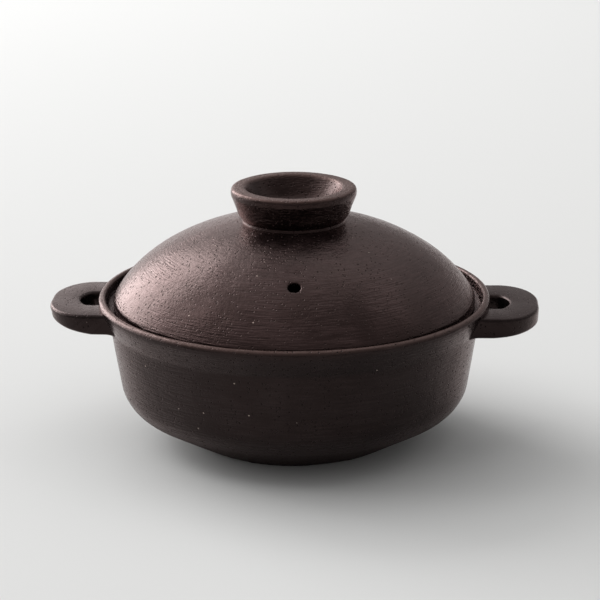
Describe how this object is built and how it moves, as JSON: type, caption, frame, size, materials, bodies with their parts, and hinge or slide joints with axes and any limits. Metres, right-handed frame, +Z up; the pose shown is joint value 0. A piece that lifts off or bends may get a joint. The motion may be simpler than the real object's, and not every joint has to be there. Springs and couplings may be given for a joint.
{
  "type": "ceramic steamer pot",
  "caption": "Round dark stoneware steamer pot with lug handles, a domed vented lid with a cup-shaped knob, a pierced steam grate on an inner ledge and a loose induction plate.",
  "frame": {"origin": "middle of the flat base, on the surface the pot stands on", "axes": "+X to the right handle, +Z up, -Y to the front, where the vent is in the lid as it lies at rest"},
  "size_m": [0.3056, 0.245, 0.1609],
  "materials": {
    "pot_glaze": "dark brown-black satin glaze over coarse stoneware",
    "lid_glaze": "dark brown satin glaze with fine throwing lines and pinholes",
    "grate_clay": "dark matt fired clay",
    "plate_steel": "rolled magnetic stainless sheet"
  },
  "bodies": {
    "pot": {"pot_body": "pot_glaze", "right_handle": "pot_glaze", "left_handle": "pot_glaze"},
    "plate": {"induction_plate": "plate_steel"},
    "grate": {"steam_grate": "grate_clay"},
    "lid": {"lid_dome": "lid_glaze", "lid_knob": "lid_glaze"}
  },
  "joints": [
    {"name": "plate_lift", "type": "slide", "parent": "pot", "child": "plate", "axis": [0, 0, 1], "range_m": [0, 0.12]},
    {"name": "grate_lift", "type": "slide", "parent": "plate", "child": "grate", "axis": [0, 0, 1], "range_m": [0, 0.12]},
    {"name": "lid_lift", "type": "slide", "parent": "grate", "child": "lid", "axis": [0, 0, 1], "range_m": [0, 0.15]}
  ]
}
